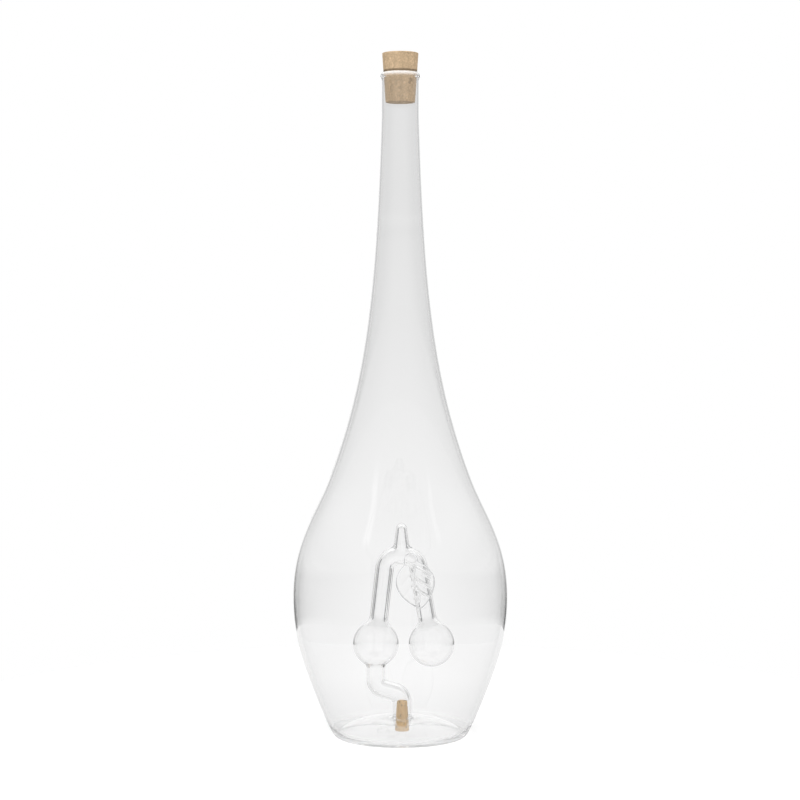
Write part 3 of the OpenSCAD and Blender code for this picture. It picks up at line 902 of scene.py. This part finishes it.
# Both levels fall towards the axis: a painted shadow of the bottle
TABLE_MIRRORED_PAINTED_SHADOW = (0.05, 0.14, 0.67, 0.76)
TABLE_THROUGH_PAINTED_SHADOW = (0.03, 0.15, 0.77, 0.845)
# Surroundings by the angle in degrees from straight behind: level, and the share that the gap's
# level has there. The bright room in front comes last, from the studio's setting.
AROUND = (
    (0, 1.0, 0), (15.5, 1.0, 0),  # white sheet
    (18.5, 0.9, 1), (37, 0.6, 1),  # gap beside the sheet
    (45, 0.6, 0.6), (75, 0.55, 0.6), (100, 0.53, 0),  # side walls
)
ROOM_FROM = 150
# By how far a ray points up, -1 to 1: two heights, and the levels there
GAP = (-0.17, -0.01, 0.15, 0.59)
PAPER = (-0.17, 0.06, 0.945, 0.765)
# Where the table beyond its edge and the ceiling start and are whole, and their levels
FAR_TABLE, CEILING = (-0.195, -0.24, 0.75), (0.25, 0.55, 1.1)
# Windows: angle from straight in front and half width in degrees, and share of their brightness
WINDOWS = ((-46, 7, 1), (53, 5, 0.6))
WINDOW_HEIGHT, WINDOW_HALF, WINDOW_FULL = 0.62, 0.13, 0.04
# What matt surfaces and the camera itself get from the surroundings
ON_MATT, ON_CAMERA = 0.45, 1.0
# Soft lamps: name, size in metres, watts and place. All face one point on the bottle's axis.
LAMPS = (
    ("overhead_softbox", (0.8, 0.8), 8, (0, -0.1, 1.35)),
    ("front_fill", (1.4, 1.2), 13, (-0.2, -1.7, 0.8)),
    ("left_fill", (0.8, 1.2), 5, (-1.3, -0.5, 0.5)),
    ("right_fill", (0.8, 1.2), 5, (1.3, -0.5, 0.5)),
)
LAMP_TARGET = (0, 0, 0.15)
# Camera: place in metres, how far it looks down in radians, lens and sensor width in mm
CAMERA_PLACE, CAMERA_DOWN, LENS, SENSOR = (-0.00015, -0.990, 0.211), 0.043, 89.1, 36


def build_table(studio):
    """A round white table top. Seen straight, it keeps the bottle's shadow. In the glass it has a
    light of its own instead, with a painted shadow: a little lower under the bottle."""
    count = 96
    turn = 2 * math.pi * np.arange(count) / count
    points = studio.table_radius / MM * np.stack([np.cos(turn), np.sin(turn), 0 * turn], 1)
    # Laminate with a matt face: even and white, and no lamp shows in it
    material, tree, out = new_material("white_laminate")
    light = add(tree, "ShaderNodeLightPath")
    in_glass = add(tree, "ShaderNodeMath", {
        0: light.outputs["Is Glossy Ray"], 1: light.outputs["Is Transmission Ray"]},
        operation="MAXIMUM").outputs[0]
    shade = add(tree, "ShaderNodeMix", {
        0: in_glass, 6: linear("#E7E7E7"), 7: linear("#616161")}, data_type="RGBA").outputs[2]
    direct = add(tree, "ShaderNodeMath", {
        0: light.outputs["Is Camera Ray"], 1: TABLE_LIFT}, operation="MULTIPLY").outputs[0]
    mirrored = add(tree, "ShaderNodeMath", {
        0: light.outputs["Glossy Depth"], 1: 0.5}, operation="GREATER_THAN").outputs[0]
    place = add(tree, "ShaderNodeTexCoord").outputs["Object"]
    reach = add(tree, "ShaderNodeVectorMath", {0: place}, operation="LENGTH").outputs["Value"]
    # Painted shadow: the table's own light falls towards the bottle's axis
    through, in_mirror_shadowed = (add(tree, "ShaderNodeMapRange", {
        "Value": reach, "From Min": near, "From Max": far,
        "To Min": low, "To Max": high}).outputs[0]
        for near, far, low, high in (TABLE_THROUGH_PAINTED_SHADOW, TABLE_MIRRORED_PAINTED_SHADOW))
    own = add(tree, "ShaderNodeMix", {0: mirrored, 2: through, 3: in_mirror_shadowed}).outputs[0]
    glow = add(tree, "ShaderNodeMix", {0: in_glass, 2: direct, 3: own})
    matt = add(tree, "ShaderNodeBsdfDiffuse", {"Color": shade})
    lift = add(tree, "ShaderNodeEmission", {"Color": WHITE, "Strength": glow.outputs[0]})
    both = add(tree, "ShaderNodeAddShader", {0: matt.outputs[0], 1: lift.outputs[0]})
    tree.links.new(both.outputs[0], out.inputs["Surface"])
    table = new_piece("table_top", points, [tuple(range(count))], [material])


def build_world(scene, studio):
    """The surroundings: plain white for the camera itself, even light for matt surfaces, and for
    the glass a lit room, which gives it its dark and bright lines."""
    world = bpy.data.worlds.new("studio")
    world.use_nodes = True
    scene.world = world
    tree = world.node_tree
    tree.nodes.clear()
    out = add(tree, "ShaderNodeOutputWorld")
    light = add(tree, "ShaderNodeLightPath")
    way = add(tree, "ShaderNodeTexCoord").outputs["Generated"]
    across, along, up = add(tree, "ShaderNodeSeparateXYZ", {0: way}).outputs

    # Around the glass, seen in reflections: a white sheet behind, pale side walls and a bright
    # room in front. Between sheet and walls are gaps, darkest just over the table's edge.
    side = add(tree, "ShaderNodeMath", {0: across, 1: along}, operation="ARCTAN2").outputs[0]
    side = add(tree, "ShaderNodeMath", {0: side}, operation="ABSOLUTE").outputs[0]
    side = add(tree, "ShaderNodeMath", {0: side, 1: math.pi}, operation="DIVIDE").outputs[0]
    ramp = add(tree, "ShaderNodeValToRGB", {0: side})
    stops = (*AROUND, (ROOM_FROM, studio.room, 0))
    while len(ramp.color_ramp.elements) < len(stops):
        ramp.color_ramp.elements.new(0.5)
    for element, (angle, level, share) in zip(ramp.color_ramp.elements, stops):
        element.position = angle / 180
        element.color = (level, share, 0, 1)
    ramp = add(tree, "ShaderNodeSeparateColor", {0: ramp.outputs[0]})
    gap, paper = (add(tree, "ShaderNodeMapRange", {
        "Value": up, "From Min": low, "From Max": high, "To Min": start, "To Max": end}).outputs[0]
        for low, high, start, end in (GAP, PAPER))
    around = add(tree, "ShaderNodeMix", {
        0: ramp.outputs[1], 2: ramp.outputs[0], 3: gap}).outputs[0]
    # The table goes on beyond its edge: rays that leave steeply downwards see it too. A white
    # ceiling closes the room at the top.
    for start, whole, level in (FAR_TABLE, CEILING):
        there = add(tree, "ShaderNodeMapRange", {
            "Value": up, "From Min": start, "From Max": whole}).outputs[0]
        around = add(tree, "ShaderNodeMix", {0: there, 2: around, 3: level}).outputs[0]

    # Rays that pass the glass and are never mirrored in it see the paper behind the bottle
    unmirrored = add(tree, "ShaderNodeMath", {
        0: light.outputs["Glossy Depth"], 1: 0.5}, operation="LESS_THAN").outputs[0]
    straight = add(tree, "ShaderNodeMath", {
        0: light.outputs["Is Transmission Ray"], 1: unmirrored}, operation="MULTIPLY").outputs[0]
    seen = add(tree, "ShaderNodeMix", {0: straight, 2: around, 3: paper}).outputs[0]

    # Two tall soft windows high in front, mirrored in the belly
    forward = add(tree, "ShaderNodeMath", {0: along, 1: -1}, operation="MULTIPLY").outputs[0]
    front = add(tree, "ShaderNodeMath", {0: across, 1: forward}, operation="ARCTAN2").outputs[0]
    panes = 0
    for turn, half, share in WINDOWS:
        off = add(tree, "ShaderNodeMath", {
            0: front, 1: math.radians(turn)}, operation="SUBTRACT").outputs[0]
        off = add(tree, "ShaderNodeMath", {0: off}, operation="ABSOLUTE").outputs[0]
        pane = add(tree, "ShaderNodeMapRange", {
            "Value": off, "From Min": math.radians(half), "From Max": math.radians(half * 0.3),
            "To Max": share * studio.windows}, interpolation_type="SMOOTHSTEP").outputs[0]
        panes = add(tree, "ShaderNodeMath", {0: pane, 1: panes}, operation="ADD").outputs[0]
    off = add(tree, "ShaderNodeMath", {0: up, 1: WINDOW_HEIGHT}, operation="SUBTRACT").outputs[0]
    off = add(tree, "ShaderNodeMath", {0: off}, operation="ABSOLUTE").outputs[0]
    tall = add(tree, "ShaderNodeMapRange", {
        "Value": off, "From Min": WINDOW_HALF, "From Max": WINDOW_FULL},
        interpolation_type="SMOOTHSTEP").outputs[0]
    for part in (tall, light.outputs["Is Glossy Ray"]):
        panes = add(tree, "ShaderNodeMath", {0: panes, 1: part}, operation="MULTIPLY").outputs[0]
    seen = add(tree, "ShaderNodeMath", {0: seen, 1: panes}, operation="ADD").outputs[0]

    for ray, level in (("Is Diffuse Ray", ON_MATT), ("Is Camera Ray", ON_CAMERA)):
        seen = add(tree, "ShaderNodeMix", {0: light.outputs[ray], 2: seen, 3: level}).outputs[0]
    glow = add(tree, "ShaderNodeBackground", {"Color": WHITE, "Strength": seen})
    tree.links.new(glow.outputs[0], out.inputs["Surface"])


def build_lamps():
    """Soft lamps for the corks and the table. The glass shows none of them: the lights in it are
    the windows and the sheet of the surroundings."""
    for name, size, watts, place in LAMPS:
        data = bpy.data.lights.new(name, "AREA")
        data.shape = "RECTANGLE"
        data.size, data.size_y = size
        data.energy = watts
        lamp = bpy.data.objects.new(name, data)
        lamp.location = place
        aim = Vector(LAMP_TARGET) - Vector(place)
        lamp.rotation_euler = aim.to_track_quat("-Z", "Y").to_euler()
        lamp.visible_glossy = lamp.visible_transmission = False
        bpy.context.scene.collection.objects.link(lamp)


def build_camera(scene):
    """A long lens a metre in front of the bottle, a little above its middle."""
    data = bpy.data.cameras.new("camera")
    data.sensor_width = SENSOR
    data.lens = LENS
    camera = bpy.data.objects.new("camera", data)
    camera.location = CAMERA_PLACE
    camera.rotation_euler = (math.pi / 2 - CAMERA_DOWN, 0, 0)
    scene.collection.objects.link(camera)
    scene.camera = camera


# ---- add-on


class FLASK_PT_panel(bpy.types.Panel):
    """Buttons for the bottle's pieces and its studio"""

    bl_idname = "FLASK_PT_panel"
    bl_label = "Cherry Flask"
    bl_space_type = "VIEW_3D"
    bl_region_type = "UI"
    bl_category = "Flask"

    def draw(self, context):
        for operator in OPERATORS:
            self.layout.operator(operator.bl_idname)


GROUPS = {
    "flask_bottle": FlaskBottle,
    "flask_cherries": FlaskCherries,
    "flask_leaf": FlaskLeaf,
    "flask_corks": FlaskCorks,
    "flask_studio": FlaskStudio,
}
OPERATORS = (FLASK_OT_vessel, FLASK_OT_leaf, FLASK_OT_corks, FLASK_OT_studio)


def register():
    """Adds the classes and the settings of each group to Blender."""
    for cls in (*GROUPS.values(), *OPERATORS, FLASK_PT_panel):
        bpy.utils.register_class(cls)
    for name, group in GROUPS.items():
        setattr(bpy.types.Scene, name, PointerProperty(type=group))


def unregister():
    """Takes them out again."""
    for name in GROUPS:
        delattr(bpy.types.Scene, name)
    for cls in reversed((*GROUPS.values(), *OPERATORS, FLASK_PT_panel)):
        bpy.utils.unregister_class(cls)


def main():
    """Builds every piece and the stage."""
    register()
    bpy.ops.flask.vessel()
    bpy.ops.flask.leaf()
    bpy.ops.flask.corks()
    bpy.ops.flask.studio()


if __name__ == "__main__":
    main()
